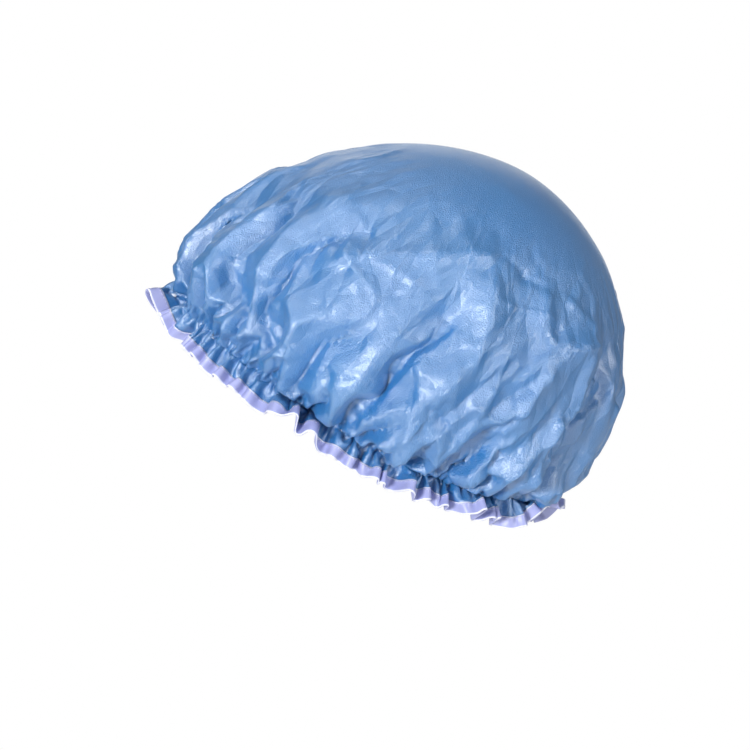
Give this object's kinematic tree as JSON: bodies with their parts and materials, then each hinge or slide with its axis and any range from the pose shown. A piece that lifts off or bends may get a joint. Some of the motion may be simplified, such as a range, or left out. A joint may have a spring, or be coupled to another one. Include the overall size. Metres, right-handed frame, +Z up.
{
  "type": "shower cap",
  "caption": "Gathered shower cap as worn: a puffed satin cover with a film lining, drawn in by a sewn elastic band, with a ruffled frill edged in folded ribbon.",
  "frame": {"origin": "middle of the head opening, on the line of the elastic", "axes": "+Z up on an upright head, -Y the wearer's front, +X the wearer's left"},
  "size_m": [0.225, 0.2731, 0.2185],
  "materials": {
    "satin": "light blue polyester satin with a fine sparkling sheen",
    "film": "translucent white waterproof film with a soft gloss",
    "ribbon": "pale lilac satin ribbon with bright edges",
    "elastic": "white braided elastic, matt"
  },
  "bodies": {
    "root": {"satin_cover": "satin", "film_lining": "film", "edge_binding": "ribbon", "elastic_band": "elastic"}
  },
  "joints": []
}
